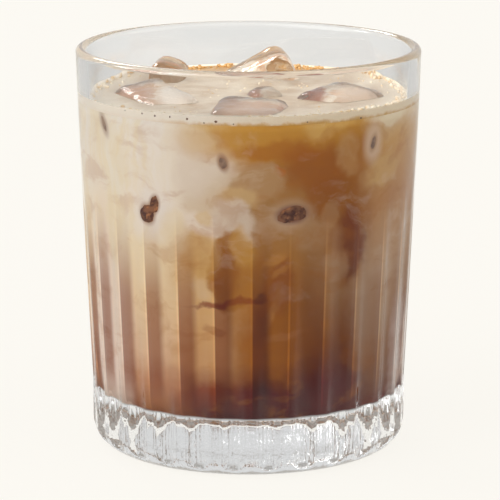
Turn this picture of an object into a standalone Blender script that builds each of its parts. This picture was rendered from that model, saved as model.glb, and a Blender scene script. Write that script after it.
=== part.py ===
"""Iced mocha in a fluted old-fashioned tumbler.

The tumbler is a thick-based pressed glass with 28 flutes. It holds a dark coffee layer, milky coffee above
it, a thin froth on top, and ice cubes that float with their tops above the froth. The origin is the middle
of the foot's underside, +Z is up, and the drinker's front is -Y. Lengths are in metres, angles in degrees.
"""

import math
import random
from typing import NamedTuple

import bmesh
import bpy
from mathutils import Euler, Vector

# Tumbler
GLASS_HEIGHT = 0.0985
RIM_RADIUS = 0.042
FOOT_RADIUS = 0.0385
STRAIGHT_HEIGHT = 0.016  # the wall stands straight to here, then flares to the rim
FLARE_BULGE = 0.13  # how much of the flare comes early, which rounds the wall outwards
RIM_WALL = 0.0026
FOOT_WALL = 0.0034
FOOT_ROUNDING = 0.006
PUNT_RADIUS = 0.025  # the dished part of the underside, inside the ring that stands on the table
PUNT_SLOPE = 0.002
PUNT_DEPTH = 0.0015
FLOOR_HEIGHT = 0.0135  # the thick glass base, up to the drink
FLOOR_ROUNDING = 0.004

# Flutes, cut into the outside of the wall
FLUTE_COUNT = 28
FLUTE_DEPTH = 0.0007
RIDGE_SHARE = 0.36  # the share of each flute's width that stays as a ridge
FLUTE_FOOT = (0.0005, 0.005)  # the flutes fade in over these heights
FLUTE_TOP = (0.044, 0.072)  # and fade out over these
FRONT_ANGLE = -89  # the first ridge stands at the front, a degree off -Y

# Drink
DRINK_LEVEL = 0.0872
FROTH_THICKNESS = 0.0018
MENISCUS_RISE = 0.0006  # the froth creeps up the glass by this
MENISCUS_WIDTH = 0.0022
DARK_LAYER_TOP = 0.0250
GAP = 0.0003  # neighbouring pieces stay this far apart
WALL_GAP = 0.00033  # a little more where two round walls with different steps face each other


class Wave(NamedTuple):
    """One of the waves that make a layer's edge uneven: crests round the glass, half height and phase."""

    crests: int
    height: float
    phase: float


DARK_LAYER_WAVES = (Wave(2, 0.0016, 0.6), Wave(5, 0.0010, 2.1))
FROTH_WAVES = (Wave(4, 0.0003, 0.0), Wave(9, 0.0003, 1.0))


class IceCube(NamedTuple):
    """A floating cube: its middle, how far its top rises over the froth, its size and its turn."""

    x: float
    y: float
    rise: float
    size: tuple
    turn: tuple
    seed: int


ICE_CUBES = {
    "ice_left": IceCube(-0.0216, -0.0085, 0.0031, (0.0152, 0.0240, 0.020), (4, -7, 27), 3),
    "ice_back_left": IceCube(-0.0208, 0.0180, 0.0056, (0.0095, 0.0135, 0.018), (8, 15, -8), 5),
    "ice_back": IceCube(0.0050, 0.0212, 0.0074, (0.0195, 0.0180, 0.020), (4, -27, 4), 8),
    "ice_front": IceCube(-0.0005, -0.0258, 0.0025, (0.0182, 0.0190, 0.020), (6, 5, -6), 13),
    "ice_middle": IceCube(0.0042, -0.0052, 0.0021, (0.0096, 0.0100, 0.013), (7, -9, 12), 21),
    "ice_right": IceCube(0.0216, -0.0078, 0.0029, (0.0163, 0.0182, 0.020), (5, 8, -38), 34),
}
ICE_ROUNDING = 0.0035
ICE_ROUNDING_STEPS = 3
ICE_UNEVENNESS = 0.07  # each corner strays by up to this share of the cube's size

# Mesh fineness
SEGMENTS_PER_FLUTE = 5
GLASS_STEPS = FLUTE_COUNT * SEGMENTS_PER_FLUTE
INSIDE_RINGS = 4
OUTSIDE_RINGS = 8
DRINK_STEPS = 60
DRINK_RINGS = 4
FACE_SHARES = (0.0, 0.4, 0.75, 1.0)  # a layer's face has rings at these shares of its radius
ARC_STEPS = 4
LIP_STEPS = 6
SHARP_ANGLE = 40  # edges that bend more than this stay sharp when shaded
MERGE_DISTANCE = 0.00001


# ---------------------------------------------------------------- scene helpers


def clear_scene():
    for item in list(bpy.data.objects):
        bpy.data.objects.remove(item, do_unlink=True)


def make_collection(name):
    collection = bpy.data.collections.new(name)
    bpy.context.scene.collection.children.link(collection)
    return collection


def make_material(name, colour, roughness, alpha=1.0):
    material = bpy.data.materials.new(name)
    material.use_nodes = True
    shader = material.node_tree.nodes["Principled BSDF"]
    shader.inputs["Base Color"].default_value = (*colour, 1.0)
    shader.inputs["Roughness"].default_value = roughness
    shader.inputs["Metallic"].default_value = 0.0
    shader.inputs["Alpha"].default_value = alpha
    return material


def add_object(name, mesh, collection, material=None):
    item = bpy.data.objects.new(name, mesh)
    collection.objects.link(item)
    if material:
        mesh.materials.append(material)
    return item


# ---------------------------------------------------------------- shape helpers


def smooth_step(low, high, value):
    share = min(1.0, max(0.0, (value - low) / (high - low)))
    return share * share * (3 - 2 * share)


def arc(centre_radius, centre_z, radius, start, end, steps=ARC_STEPS):
    """Profile points on an arc in the radius-height plane, from one angle to another."""
    angles = [math.radians(start + (end - start) * i / steps) for i in range(steps + 1)]
    return [(centre_radius + radius * math.cos(a), centre_z + radius * math.sin(a)) for a in angles]


def heights_between(low, high, steps):
    """Heights from low to high, without the two ends."""
    return [low + (high - low) * i / steps for i in range(1, steps)]


def shade_round(mesh):
    mesh.shade_smooth()
    mesh.set_sharp_from_angle(angle=math.radians(SHARP_ANGLE))


def turned(name, profile, steps, collection, material, start_angle=0.0):
    """A closed body turned about Z. Its (radius, z) points run from the axis at the top, out, and down."""
    mesh = bpy.data.meshes.new(name)
    points = [(radius, 0.0, z) for radius, z in profile]
    mesh.from_pydata(points, [(i, i + 1) for i in range(len(points) - 1)], [])
    spun = bpy.data.objects.new(name + "_profile", mesh)
    collection.objects.link(spun)
    screw = spun.modifiers.new("turn", "SCREW")
    screw.axis = "Z"
    screw.angle = 2 * math.pi
    screw.steps = screw.render_steps = steps
    screw.use_merge_vertices = True
    screw.merge_threshold = MERGE_DISTANCE
    bpy.context.view_layer.update()
    solid = bpy.data.meshes.new_from_object(spun.evaluated_get(bpy.context.evaluated_depsgraph_get()))
    bpy.data.objects.remove(spun)
    bpy.data.meshes.remove(mesh)
    solid.name = name
    solid.transform(Euler((0, 0, math.radians(start_angle))).to_matrix().to_4x4())
    shade_round(solid)
    return add_object(name, solid, collection, material)


# ---------------------------------------------------------------- tumbler


def outer_radius(z):
    """Radius of the wall's outside over the ridges, above the foot's rounding."""
    share = max(0.0, (z - STRAIGHT_HEIGHT) / (GLASS_HEIGHT - STRAIGHT_HEIGHT))
    return FOOT_RADIUS + (RIM_RADIUS - FOOT_RADIUS) * share * (1 + FLARE_BULGE - FLARE_BULGE * share**2)


def wall_thickness(z):
    return FOOT_WALL + (RIM_WALL - FOOT_WALL) * z / GLASS_HEIGHT


def inner_radius(z):
    return outer_radius(z) - wall_thickness(z)


def flute_dip(angle, z):
    """How far a flute dips into the wall at an angle about Z."""
    pitch = 2 * math.pi / FLUTE_COUNT
    from_middle = abs((angle - math.radians(FRONT_ANGLE)) % pitch - pitch / 2)
    half_width = pitch / 2 * (1 - RIDGE_SHARE)
    bowl = max(0.0, 1 - (from_middle / half_width) ** 2)
    return FLUTE_DEPTH * bowl * smooth_step(*FLUTE_FOOT, z) * (1 - smooth_step(*FLUTE_TOP, z))


def tumbler_profile():
    """From the middle of the inside floor, up the inside, over the lip and down to the foot's middle."""
    lip = RIM_WALL / 2
    lip_z = GLASS_HEIGHT - lip
    floor_corner_z = FLOOR_HEIGHT + FLOOR_ROUNDING
    floor_corner_radius = inner_radius(floor_corner_z) - FLOOR_ROUNDING
    inside = heights_between(floor_corner_z, lip_z, INSIDE_RINGS)
    outside = heights_between(FOOT_ROUNDING, lip_z, OUTSIDE_RINGS)[::-1]
    return [
        (0.0, FLOOR_HEIGHT),
        *arc(floor_corner_radius, floor_corner_z, FLOOR_ROUNDING, -90, 0),
        *[(inner_radius(z), z) for z in inside],
        *arc(outer_radius(lip_z) - lip, lip_z, lip, 180, 0, LIP_STEPS),
        *[(outer_radius(z), z) for z in outside],
        *arc(FOOT_RADIUS - FOOT_ROUNDING, FOOT_ROUNDING, FOOT_ROUNDING, 0, -90),
        (PUNT_RADIUS, 0.0),
        (PUNT_RADIUS - PUNT_SLOPE, PUNT_DEPTH),
        (0.0, PUNT_DEPTH),
    ]


def cut_flutes(mesh):
    for vertex in mesh.vertices:
        x, y, z = vertex.co
        radius = math.hypot(x, y)
        on_outside = radius > inner_radius(z) + wall_thickness(z) / 2 or z < FOOT_ROUNDING
        if on_outside and radius > FOOT_RADIUS - FOOT_ROUNDING:
            slimmer = 1 - flute_dip(math.atan2(y, x), z) / radius
            vertex.co.x = x * slimmer
            vertex.co.y = y * slimmer


def make_tumbler(collection, material):
    first_segment = FRONT_ANGLE + 180 / GLASS_STEPS
    tumbler = turned("tumbler", tumbler_profile(), GLASS_STEPS, collection, material, first_segment)
    cut_flutes(tumbler.data)


# ---------------------------------------------------------------- drink


def ripple(waves, x, y):
    angle = math.atan2(y, x)
    return sum(wave.height * math.sin(wave.crests * angle + wave.phase) for wave in waves)


def dark_layer_height(x, y):
    """The uneven top of the dark coffee that has settled under the milk."""
    return DARK_LAYER_TOP + math.hypot(x, y) / FOOT_RADIUS * ripple(DARK_LAYER_WAVES, x, y)


def froth_underside(x, y):
    """The uneven line where the froth meets the coffee."""
    return DRINK_LEVEL - FROTH_THICKNESS + ripple(FROTH_WAVES, x, y)


def drink_radius(z):
    return inner_radius(z) - WALL_GAP


def face_points(z):
    """Profile points across a layer's face, from the axis to just inside the glass."""
    return [(drink_radius(z) * share, z) for share in FACE_SHARES]


def lay_face(mesh, face_z, height_at):
    """Moves the points of a turned body's flat face at face_z to an uneven height."""
    for vertex in mesh.vertices:
        if abs(vertex.co.z - face_z) < MERGE_DISTANCE:
            vertex.co.z = height_at(vertex.co.x, vertex.co.y)


def make_dark_coffee(collection, material):
    bottom = FLOOR_HEIGHT + GAP
    corner_z = bottom + FLOOR_ROUNDING
    profile = [
        *face_points(DARK_LAYER_TOP),
        *arc(drink_radius(corner_z) - FLOOR_ROUNDING, corner_z, FLOOR_ROUNDING, 0, -90),
        (0.0, bottom),
    ]
    layer = turned("dark_coffee", profile, DRINK_STEPS, collection, material)
    lay_face(layer.data, DARK_LAYER_TOP, dark_layer_height)


def make_milky_coffee(collection, material):
    top = DRINK_LEVEL - FROTH_THICKNESS
    side = heights_between(DARK_LAYER_TOP, top, DRINK_RINGS)[::-1]
    profile = [
        *face_points(top),
        *[(drink_radius(z), z) for z in side],
        *face_points(DARK_LAYER_TOP)[::-1],
    ]
    layer = turned("milky_coffee", profile, DRINK_STEPS, collection, material)
    lay_face(layer.data, top, lambda x, y: froth_underside(x, y) - GAP)
    lay_face(layer.data, DARK_LAYER_TOP, lambda x, y: dark_layer_height(x, y) + GAP)
    return layer


def make_froth(collection, material):
    under = DRINK_LEVEL - FROTH_THICKNESS
    edge = drink_radius(DRINK_LEVEL)
    profile = [
        (0.0, DRINK_LEVEL),
        (edge / 2, DRINK_LEVEL),
        (edge - MENISCUS_WIDTH, DRINK_LEVEL),
        (edge - MENISCUS_WIDTH / 3, DRINK_LEVEL + MENISCUS_RISE / 3),
        (edge, DRINK_LEVEL + MENISCUS_RISE),
        *face_points(under)[::-1],
    ]
    layer = turned("froth", profile, DRINK_STEPS, collection, material)
    lay_face(layer.data, under, froth_underside)
    return layer


# ---------------------------------------------------------------- ice


def ice_mesh(name, cube, growth=0.0):
    """An uneven cube with melted, rounded edges, in place. Growth swells it all round, for a cutter."""
    draw = random.Random(cube.seed)
    body = bmesh.new()
    bmesh.ops.create_cube(body, size=1.0)
    for corner in body.verts:
        stray = [1 + ICE_UNEVENNESS * draw.uniform(-1, 1) for _ in cube.size]
        corner.co = Vector([c * s * length for c, s, length in zip(corner.co, stray, cube.size)])
    bmesh.ops.bevel(
        body,
        geom=[*body.verts, *body.edges],
        offset=ICE_ROUNDING,
        segments=ICE_ROUNDING_STEPS,
        profile=0.5,
        affect="EDGES",
        clamp_overlap=True,
    )
    bmesh.ops.triangulate(body, faces=[face for face in body.faces if len(face.verts) > 4])
    turn = Euler([math.radians(angle) for angle in cube.turn])
    bmesh.ops.rotate(body, cent=(0, 0, 0), matrix=turn.to_matrix(), verts=body.verts)
    top = max(vertex.co.z for vertex in body.verts)
    bmesh.ops.translate(body, vec=(cube.x, cube.y, DRINK_LEVEL + cube.rise - top), verts=body.verts)
    body.normal_update()
    moves = [vertex.normal * growth for vertex in body.verts]
    for vertex, move in zip(body.verts, moves):
        vertex.co += move
    mesh = bpy.data.meshes.new(name)
    body.to_mesh(mesh)
    body.free()
    shade_round(mesh)
    return mesh


def make_ice(collection, material):
    for name, cube in ICE_CUBES.items():
        add_object(name, ice_mesh(name, cube), collection, material)


def make_ice_cutters(collection):
    for name, cube in ICE_CUBES.items():
        cutter = add_object(name + "_cutter", ice_mesh(name + "_cutter", cube, GAP), collection)
        cutter.hide_render = True
        cutter.display_type = "WIRE"


def cut_round_ice(layer, cutters):
    """The layer leaves a pocket round each cube of ice."""
    pocket = layer.modifiers.new("ice pockets", "BOOLEAN")
    pocket.operation = "DIFFERENCE"
    pocket.operand_type = "COLLECTION"
    pocket.collection = cutters
    pocket.solver = "EXACT"


# ---------------------------------------------------------------- assembly


def main():
    clear_scene()
    parts = make_collection("iced_mocha")
    cutters = make_collection("ice_cutters")
    glass = make_material("clear_glass", (0.93, 0.95, 0.95), 0.02, alpha=0.3)
    dark_coffee = make_material("dark_coffee", (0.09, 0.035, 0.015), 0.3)
    milky_coffee = make_material("milky_coffee", (0.50, 0.27, 0.12), 0.3)
    froth_cream = make_material("froth", (0.78, 0.62, 0.42), 0.5)
    ice = make_material("ice", (0.85, 0.80, 0.76), 0.05, alpha=0.45)

    make_tumbler(parts, glass)
    make_dark_coffee(parts, dark_coffee)
    make_ice_cutters(cutters)
    cut_round_ice(make_milky_coffee(parts, milky_coffee), cutters)
    cut_round_ice(make_froth(parts, froth_cream), cutters)
    make_ice(parts, ice)


main()
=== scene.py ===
"""The looks of the iced mocha: glass, marbled coffee, froth, ice and bubbles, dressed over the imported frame.

Lengths are in metres unless a name says mm, angles in degrees. The drinker's front is -Y, and an azimuth
counts from there to the right.
"""

import math
import random
from typing import NamedTuple

import bmesh
import bpy
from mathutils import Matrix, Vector, noise


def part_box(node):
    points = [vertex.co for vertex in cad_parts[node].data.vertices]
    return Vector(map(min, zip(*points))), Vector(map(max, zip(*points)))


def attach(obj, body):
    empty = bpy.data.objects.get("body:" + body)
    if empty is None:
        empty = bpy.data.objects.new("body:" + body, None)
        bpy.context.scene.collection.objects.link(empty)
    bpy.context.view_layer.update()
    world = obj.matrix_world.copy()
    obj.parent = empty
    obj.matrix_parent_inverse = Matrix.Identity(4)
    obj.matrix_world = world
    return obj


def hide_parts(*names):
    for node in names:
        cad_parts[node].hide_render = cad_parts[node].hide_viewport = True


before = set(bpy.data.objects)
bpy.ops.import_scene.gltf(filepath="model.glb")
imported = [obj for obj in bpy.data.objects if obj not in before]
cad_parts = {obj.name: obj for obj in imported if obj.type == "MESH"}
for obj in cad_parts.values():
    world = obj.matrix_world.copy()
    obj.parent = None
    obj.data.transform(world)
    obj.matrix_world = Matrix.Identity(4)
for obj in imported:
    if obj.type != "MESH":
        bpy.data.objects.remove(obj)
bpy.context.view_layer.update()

MM = 0.001

# The tumbler, as in the frame
GLASS_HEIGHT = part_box("tumbler")[1].z
RIM_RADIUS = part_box("tumbler")[1].y
FOOT_RADIUS = 0.0385
STRAIGHT_HEIGHT = 0.016  # the side flares above this
FLARE_BULGE = 0.13
RIM_WALL = 0.0026
FOOT_WALL = 0.0034
FOOT_ROUNDING = 0.006
FLOOR_HEIGHT = 0.0135  # of the glass floor, under the drink
FLOOR_ROUNDING = 0.004
PUNT_RADIUS = 0.025  # the dished middle of the underside
PUNT_SLOPE = 0.002
PUNT_DEPTH = 0.0015
PUNT_EASE = 0.0008  # its two edges are eased over this width
PUNT_EASE_RISE = 0.0001
CLOSE_RING = 0.0002  # a ring this close to each rounding keeps the straight wall's smooth normals straight

# Flutes, which fade in from the foot up, and out towards the rim
FLUTE_COUNT = 28
FLUTE_DEPTH = 0.0007
FRONT_RIDGE = -89  # where the ridge in front is, counted from +X
RIDGE_SHARE = 0.36
RIDGE_SOFTNESS = 0.10
FLUTE_FOOT = (0.0005, 0.004)
FLUTE_TOP = (0.044, 0.072)
BASE_FLUTES = (0.014, 0.024)  # they are deeper in the base, down from these heights
BASE_FLUTE_GAIN = 0.7

# Drink and froth
DRINK_LEVEL = 0.0872
INTO_WALL = 0.00008  # the drink reaches this far into the glass, so no air gap shows
FROTH_THICKNESS = 0.0018
FROTH_INTO_WALL = 0.00011
FROTH_TUCK = 0.00007  # its lower edge dips this far behind the drink's side, so no ledge shows
FROTH_OVERLAP = 0.0002  # the drink reaches this far up into it
FROTH_EDGE_MM = 2.4  # how unevenly it fades to amber
MENISCUS_RISE = 0.0006
MENISCUS_WIDTH = 0.0022
SWELL_HEIGHT = 0.00016
SWELL_WIDTH_MM = 9.0
BUMP_HEIGHT = 0.00007
BUMP_WIDTH_MM = 1.4

# Ice
ICE_NAMES = ("ice_left", "ice_back_left", "ice_back", "ice_front", "ice_middle", "ice_right")
CLEAR_ICE = ("ice_back", "ice_back_left")
ICE_VOXEL = 0.0005
ICE_SMOOTHINGS = 7
ICE_MELT = 0.00018  # how far its faces are melted away, more or less
ICE_DENT_MM = 5.0  # how broad the dents in them are
ICE_INSET = 0.00028  # the hollow in the drink lies this much further in
POCKET_DEPTH = 0.0025  # below the drink's level, the ice is sunk and hidden
WELD = 0.00001

# Sunk ice and pinholes: lumps that touch the wall from inside
SUNK_DEPTH = 0.005
PINHOLE_DEPTH = 0.0003
LUMP_STANDOUT = 0.00006
LUMP_UNEVENNESS = 0.22
LUMP_NOISE = 1.7

# Bubbles, whose radii are given as the smallest, largest and most usual
BUBBLE_SEED = 7
WALL_BUBBLES = 700
WALL_BUBBLE_MM = (0.12, 0.70, 0.24)
WALL_BUBBLE_SPREAD_MM = 1.1
TOP_BUBBLES = 300
TOP_BUBBLE_MM = (0.08, 0.4, 0.14)
TOP_BUBBLE_MARGIN = 0.001
BUBBLE_BANKS = ((36, 34), (180, 75))  # the azimuths where they gather, and how widely
STRAY_BUBBLES = 0.03  # the share that stays elsewhere

# How finely things are meshed
FLUTE_SEGMENTS = 16
RIDGE_CROWDING = 0.55  # more of them lie near each ridge
INSIDE_RINGS = 40
OUTSIDE_RINGS = 56
LIP_STEPS = 14
FOOT_STEPS = 12
CORNER_STEPS = 8
DRINK_RINGS = 40
DRINK_SEGMENTS = 180
FROTH_RINGS = 64
FROTH_SIDE_STEPS = 8
FROTH_SEGMENTS = 240

# Glass and ice as materials
GLASS_IOR = 1.5
GLASS_COLOUR = (0.83, 0.845, 0.868)
ICE_IOR = 1.31
CLEAR_ICE_COLOUR = (0.98, 0.965, 0.94)
MILKY_ICE_COLOUR = (0.98, 0.92, 0.84)
MILKY_ICE_CLEARNESS = 0.92

# How the drink's colour comes through the wall, fitted in this studio's light
SHEEN = 0.018
FRONT_LIGHT = (1.10, 1.13, 1.13)
LIGHT_PER_DEGREE = 0.0043
CONTRAST = 1.2
MID_TONE = 126
TINT = (-5, -7.5, -6)
LIGHT_LET_OUT = 0.384
LIGHT_THROWN_BACK = 0.6
DARKEST = 0.003
LIGHTEST = 0.96
WALL_PARALLAX = 0.06  # from the front, the wall's depth shifts what lies behind its flutes by this share

# The drink's side is painted on a flat map, unrolled at this radius
MAP_RADIUS_MM = 38.0
SOFTNESS_GAIN = 0.8
# Further in and higher up than this, the drink shows only as the walls of the ice's hollows
INSIDE_RADIUS_MM = (37.0, 38.0)
HOLLOW_HEIGHT_MM = (80.0, 81.5)

# The studio
CAMERA_PLACE = (0.0, -0.7422, 0.2117)
CAMERA_PITCH = 12.47
FOCAL_PIXELS = 3090.0
PICTURE_PIXELS = 500
SHIFT_PIXELS = 1.5
SENSOR_MM = 36.0
WALL_BOUNCES = 48
WORLD_LIGHT = 0.86
WORLD_COLOUR = (1.0, 0.995, 0.975)
FLOOR_HALF_SIZE = 3.0
FLOOR_SQUARES = 8
FLOOR_GREY = (0.04, 0.04, 0.04)
FLOOR_GLOW = 0.937
FLOOR_DIM_GLOW = 0.42  # beyond the picture's lower and side edges, where the wall mirrors the floor
FLOOR_FRONT_MM = (-60.0, -105.0)
FLOOR_SIDE_MM = (68.0, 118.0)
FLOOR_TAPER = 0.1  # the lit floor narrows towards the front


# ---------------- places and colours, read off the photograph and adjusted


class WallSpot(NamedTuple):
    """Something that touches the wall from inside: where it shows and how large it is."""

    azimuth: float
    height_mm: float
    half_width_mm: float
    half_height_mm: float
    lean: float


class Swirl(NamedTuple):
    """How far the marbling is pushed about, and by noise of which scale."""

    scale: float
    detail: float
    push_mm: float


class Sector(NamedTuple):
    """The drink's colours from the bottom up at an azimuth, and where they take over from the last ones."""

    azimuth: float
    blend: tuple
    stops: list


class Patch(NamedTuple):
    """A soft-edged ellipse of colour on the drink's side."""

    azimuth: float
    height_mm: float
    half_width_mm: float
    half_height_mm: float
    lean: float
    softness: float
    strength: float
    looks: tuple


class Tint(NamedTuple):
    """A colour in a part of an ice cube's hollow, placed from above."""

    x_mm: float
    y_mm: float
    half_width_mm: float
    half_depth_mm: float
    colour: tuple


class Softbox(NamedTuple):
    """A broad soft light in the world, or a dark card below 0. towards points from the glass to it."""

    towards: tuple
    width: float
    strength: float


SUNK_ICE = {
    "sunk_ice_two_lobed": [WallSpot(-37.6, 63.2, 1.9, 2.1, 10), WallSpot(-34.6, 65.6, 1.2, 2.1, -14)],
    "sunk_ice_wide": [WallSpot(15.4, 64.5, 3.3, 1.8, 4), WallSpot(12.6, 63.8, 1.6, 1.3, 0)],
    "sunk_ice_right": [WallSpot(47.4, 79.5, 0.7, 1.5, -16)],
    "sunk_ice_small": [WallSpot(-8.7, 76.8, 0.8, 1.3, 14)],
    "sunk_ice_left": [WallSpot(-58.2, 83.0, 0.6, 1.8, 24)],
}
VEILED_ICE = ("sunk_ice_left", "sunk_ice_small", "sunk_ice_right")  # with milk over them

# Burst bubbles in the froth's side
PINHOLES = [
    WallSpot(-46.0, 87.3, 0.15, 0.15, 0),
    WallSpot(-38.3, 87.2, 0.20, 0.22, 0),
    WallSpot(-33.0, 87.0, 0.24, 0.24, 0),
    WallSpot(-27.2, 87.1, 0.20, 0.24, 0),
    WallSpot(-20.9, 86.9, 0.26, 0.26, 0),
    WallSpot(-10.9, 86.6, 0.34, 0.28, 0),
    WallSpot(-15.0, 86.2, 0.18, 0.14, 0),
    WallSpot(-5.0, 86.1, 0.16, 0.14, 0),
    WallSpot(20.0, 86.2, 0.16, 0.14, 0),
    WallSpot(41.0, 85.9, 0.26, 0.20, 0),
]

# The marbling, from large to small
SWIRLS = [Swirl(0.05, 1.0, 7.0), Swirl(0.14, 2.0, 4.0), Swirl(0.5, 2.0, 1.7)]

# Heights in mm and colours as they look on screen, from the bottom up
LEFT_HEIGHTS = [
    (14, (126, 80, 56)),
    (22, (182, 122, 86)),
    (30, (226, 172, 128)),
    (42, (244, 196, 140)),
    (56, (250, 214, 160)),
    (70, (236, 216, 186)),
    (87, (234, 216, 190)),
]
MIDDLE_HEIGHTS = [
    (14, (88, 40, 24)),
    (21, (124, 72, 42)),
    (28, (198, 138, 90)),
    (40, (212, 152, 96)),
    (52, (212, 158, 98)),
    (62, (208, 178, 142)),
    (74, (206, 176, 138)),
    (87, (206, 165, 108)),
]
FRONT_HEIGHTS = [
    (14, (86, 38, 22)),
    (20, (92, 50, 28)),
    (28, (142, 90, 53)),
    (42, (146, 93, 50)),
    (54, (158, 108, 62)),
    (66, (152, 112, 72)),
    (74, (158, 116, 72)),
    (80, (160, 103, 48)),
    (87, (192, 142, 78)),
]
RIGHT_HEIGHTS = [
    (14, (86, 40, 24)),
    (22, (96, 54, 32)),
    (32, (126, 83, 55)),
    (44, (150, 110, 75)),
    (54, (145, 107, 73)),
    (62, (130, 86, 53)),
    (72, (138, 90, 50)),
    (80, (152, 98, 50)),
    (87, (186, 136, 74)),
]
SIDE_HEIGHTS = [
    (14, (90, 50, 34)),
    (27, (138, 102, 74)),
    (40, (178, 140, 104)),
    (50, (182, 144, 108)),
    (66, (158, 110, 70)),
    (78, (178, 127, 74)),
    (87, (196, 164, 120)),
]

SECTORS = [
    Sector(-40, None, LEFT_HEIGHTS),
    Sector(-14, (-34.0, -18.0), MIDDLE_HEIGHTS),
    Sector(6, (-12.0, 4.0), FRONT_HEIGHTS),
    Sector(34, (14.0, 30.0), RIGHT_HEIGHTS),
    Sector(55, (38.0, 54.0), SIDE_HEIGHTS),
]

# Painted in this order, the later over the earlier
PATCHES = [
    # the milk at the left and what swirls in it
    Patch(-33.7, 77.6, 16.0, 8.6, 0, 0.5, 0.8, (243, 223, 196)),
    Patch(-52.3, 67.9, 4.8, 17.0, 4, 0.6, 0.6, (240, 222, 184)),
    Patch(-60.0, 82.0, 4.0, 5.0, 20, 0.6, 0.5, (232, 204, 160)),
    Patch(-36.3, 64.3, 7.3, 6.7, 0, 0.5, 0.8, (244, 222, 196)),
    Patch(-20.2, 74.9, 4.0, 7.6, 0, 0.5, 0.7, (216, 190, 160)),
    Patch(-47.0, 74.0, 2.2, 6.0, 10, 0.6, 0.5, (236, 208, 160)),
    # coffee under the froth
    Patch(8.7, 82.3, 20.0, 5.2, 0, 0.47, 0.85, (184, 124, 58)),
    Patch(22.1, 74.8, 7.5, 6.5, -10, 0.5, 0.9, (140, 88, 48)),
    Patch(10.0, 79.5, 10.0, 2.2, 0, 0.5, 0.6, (152, 92, 42)),
    Patch(26.0, 68.0, 5.5, 5.0, 0, 0.5, 0.6, (136, 86, 46)),
    Patch(9.5, 74.5, 1.4, 1.2, 0, 0.5, 0.7, (175, 95, 25)),
    Patch(38.2, 56.6, 3.2, 9.0, 0, 0.45, 0.85, (110, 70, 44)),
    Patch(32.0, 51.0, 3.4, 4.0, 20, 0.35, 0.6, (164, 126, 92)),
    Patch(29.5, 63.5, 2.4, 3.6, 0, 0.45, 0.6, (154, 116, 82)),
    Patch(28.4, 84.4, 6.0, 2.4, 0, 0.5, 0.6, (204, 150, 84)),
    Patch(-17.0, 82.6, 5.0, 3.0, 0, 0.5, 0.5, (222, 190, 144)),
    Patch(51.3, 72.6, 6.3, 3.0, 0, 0.5, 0.6, (190, 145, 90)),
    Patch(56.1, 84.8, 7.2, 2.5, 0, 0.5, 0.6, (222, 195, 150)),
    Patch(35.0, 77.5, 3.4, 3.6, 0, 0.5, 0.6, (176, 132, 86)),
    Patch(-28.8, 61.0, 2.6, 3.4, 0, 0.5, 0.5, (236, 200, 142)),
    # the middle's swirls
    Patch(2.2, 71.2, 6.2, 5.6, 24, 0.25, 0.85, (168, 128, 88)),
    Patch(-3.0, 68.0, 5.0, 2.6, -20, 0.47, 0.6, (205, 160, 105)),
    Patch(-16.6, 61.3, 5.6, 3.2, -10, 0.42, 0.8, (238, 213, 184)),
    Patch(-5.0, 61.4, 5.0, 6.0, 12, 0.28, 0.85, (208, 184, 156)),
    Patch(-15.6, 63.2, 2.0, 1.9, 0, 0.4, 0.8, (216, 176, 124)),
    Patch(24.3, 59.0, 6.4, 3.4, 0, 0.5, 0.55, (170, 132, 94)),
    Patch(32.5, 57.6, 1.9, 3.1, 0, 0.4, 0.4, (124, 86, 66)),
    Patch(31.6, 51.4, 4.2, 4.6, 0, 0.4, 0.45, (160, 120, 84)),
    Patch(-6.4, 50.4, 6.4, 8.6, 0, 0.12, 0.9, (160, 106, 56)),
    Patch(-9.5, 50.0, 3.0, 6.4, 0, 0.5, 0.6, (140, 88, 48)),
    Patch(-2.7, 55.7, 2.4, 4.1, 0, 0.5, 0.6, (194, 136, 70)),
    Patch(-17.7, 54.3, 4.1, 4.6, 0, 0.5, 0.6, (194, 140, 80)),
    Patch(-18.2, 46.6, 2.0, 2.4, 20, 0.5, 0.5, (222, 180, 130)),
    Patch(-8.4, 43.8, 9.1, 0.8, 3, 0.5, 0.75, (120, 62, 32)),
    Patch(3.6, 44.7, 1.5, 1.3, 0, 0.5, 0.7, (90, 55, 45)),
    Patch(9.2, 46.4, 3.0, 7.7, -8, 0.5, 0.6, (160, 96, 46)),
    Patch(9.6, 42.3, 1.2, 5.0, -20, 0.6, 0.45, (178, 122, 72)),
    Patch(5.5, 38.8, 2.0, 6.1, 0, 0.5, 0.35, (116, 76, 56)),
    Patch(11.2, 47.5, 2.4, 6.5, 0, 0.5, 0.5, (116, 72, 42)),
    Patch(7.0, 53.4, 3.2, 1.3, 38, 0.5, 0.55, (186, 122, 66)),
    Patch(10.6, 50.2, 2.6, 1.1, 52, 0.5, 0.55, (176, 114, 62)),
    Patch(13.8, 35.6, 4.0, 1.0, 8, 0.5, 0.5, (160, 104, 66)),
    Patch(-12.4, 36.4, 3.4, 1.0, -18, 0.5, 0.45, (150, 98, 62)),
    # low at the sides
    Patch(49.3, 38.3, 7.2, 10.5, 0, 0.5, 0.5, (162, 130, 100)),
    Patch(-62.0, 34.0, 8.5, 28.0, 0, 0.5, 0.8, (244, 212, 184)),
    Patch(76.0, 27.0, 6.0, 13.0, 0, 0.5, 0.8, (206, 184, 166)),
]
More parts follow.
